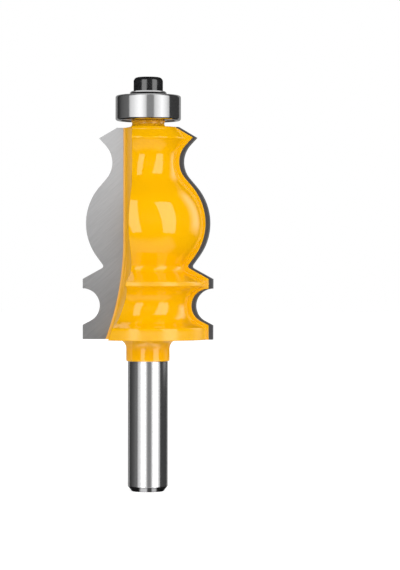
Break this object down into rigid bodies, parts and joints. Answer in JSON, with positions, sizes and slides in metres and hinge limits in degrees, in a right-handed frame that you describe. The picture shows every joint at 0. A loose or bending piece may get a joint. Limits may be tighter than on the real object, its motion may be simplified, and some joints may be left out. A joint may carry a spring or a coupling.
{
  "type": "router bit",
  "caption": "Profile router bit with brazed carbide tips, a straight round shank and a ball bearing guide held by a washer and a socket head screw.",
  "frame": {"origin": "centre of the shank's free end face", "axes": "+Z along the spindle axis from the shank's free end to the guide bearing; the cutting tips lie along +X and -X, and the rake face of the tip at -X faces -Y"},
  "size_m": [0.0412, 0.0372, 0.1305],
  "materials": {
    "painted_body": "gloss enamel over steel, with the shank left bare and polished",
    "carbide": "ground tungsten carbide",
    "bearing_steel": "polished",
    "shield_steel": "satin",
    "spring_steel": "satin",
    "cage_steel": "satin",
    "ball_steel": "polished",
    "washer_steel": "polished",
    "black_oxide": "black oxide"
  },
  "bodies": {
    "bit": {"body": "painted_body", "carbide_tip_1": "carbide", "carbide_tip_2": "carbide", "inner_ring": "bearing_steel", "washer": "washer_steel", "screw": "black_oxide"},
    "outer_race": {"outer_ring": "bearing_steel", "shield_upper": "shield_steel", "shield_lower": "shield_steel", "snap_ring_upper": "spring_steel", "snap_ring_lower": "spring_steel"},
    "cage": {"cage_upper": "cage_steel", "cage_lower": "cage_steel", "cage_rivets": "cage_steel"},
    "ball_1": {"ball_1": "ball_steel"},
    "ball_2": {"ball_2": "ball_steel"},
    "ball_3": {"ball_3": "ball_steel"},
    "ball_4": {"ball_4": "ball_steel"},
    "ball_5": {"ball_5": "ball_steel"},
    "ball_6": {"ball_6": "ball_steel"},
    "ball_7": {"ball_7": "ball_steel"}
  },
  "joints": [
    {"name": "outer_ring_spin", "type": "hinge", "parent": "bit", "child": "outer_race", "pos_m": [0, 0, 0.12076], "axis": [0, 0, 1], "continuous": true},
    {"name": "cage_orbit", "type": "hinge", "parent": "bit", "child": "cage", "pos_m": [0, 0, 0.12076], "axis": [0, 0, 1], "continuous": true},
    {"name": "ball_1_spin", "type": "hinge", "parent": "cage", "child": "ball_1", "pos_m": [0.00675, 0, 0.12076], "axis": [0, 0, 1], "continuous": true},
    {"name": "ball_2_spin", "type": "hinge", "parent": "cage", "child": "ball_2", "pos_m": [0.00421, 0.00528, 0.12076], "axis": [0, 0, 1], "continuous": true},
    {"name": "ball_3_spin", "type": "hinge", "parent": "cage", "child": "ball_3", "pos_m": [-0.0015, 0.00658, 0.12076], "axis": [0, 0, 1], "continuous": true},
    {"name": "ball_4_spin", "type": "hinge", "parent": "cage", "child": "ball_4", "pos_m": [-0.00608, 0.00293, 0.12076], "axis": [0, 0, 1], "continuous": true},
    {"name": "ball_5_spin", "type": "hinge", "parent": "cage", "child": "ball_5", "pos_m": [-0.00608, -0.00293, 0.12076], "axis": [0, 0, 1], "continuous": true},
    {"name": "ball_6_spin", "type": "hinge", "parent": "cage", "child": "ball_6", "pos_m": [-0.0015, -0.00658, 0.12076], "axis": [0, 0, 1], "continuous": true},
    {"name": "ball_7_spin", "type": "hinge", "parent": "cage", "child": "ball_7", "pos_m": [0.00421, -0.00528, 0.12076], "axis": [0, 0, 1], "continuous": true}
  ],
  "couplings": [
    {"joint": "cage_orbit", "follows": "outer_ring_spin", "ratio": 0.6471},
    {"joint": "ball_1_spin", "follows": "outer_ring_spin", "ratio": 1.5525},
    {"joint": "ball_2_spin", "follows": "outer_ring_spin", "ratio": 1.5525},
    {"joint": "ball_3_spin", "follows": "outer_ring_spin", "ratio": 1.5525},
    {"joint": "ball_4_spin", "follows": "outer_ring_spin", "ratio": 1.5525},
    {"joint": "ball_5_spin", "follows": "outer_ring_spin", "ratio": 1.5525},
    {"joint": "ball_6_spin", "follows": "outer_ring_spin", "ratio": 1.5525},
    {"joint": "ball_7_spin", "follows": "outer_ring_spin", "ratio": 1.5525}
  ]
}
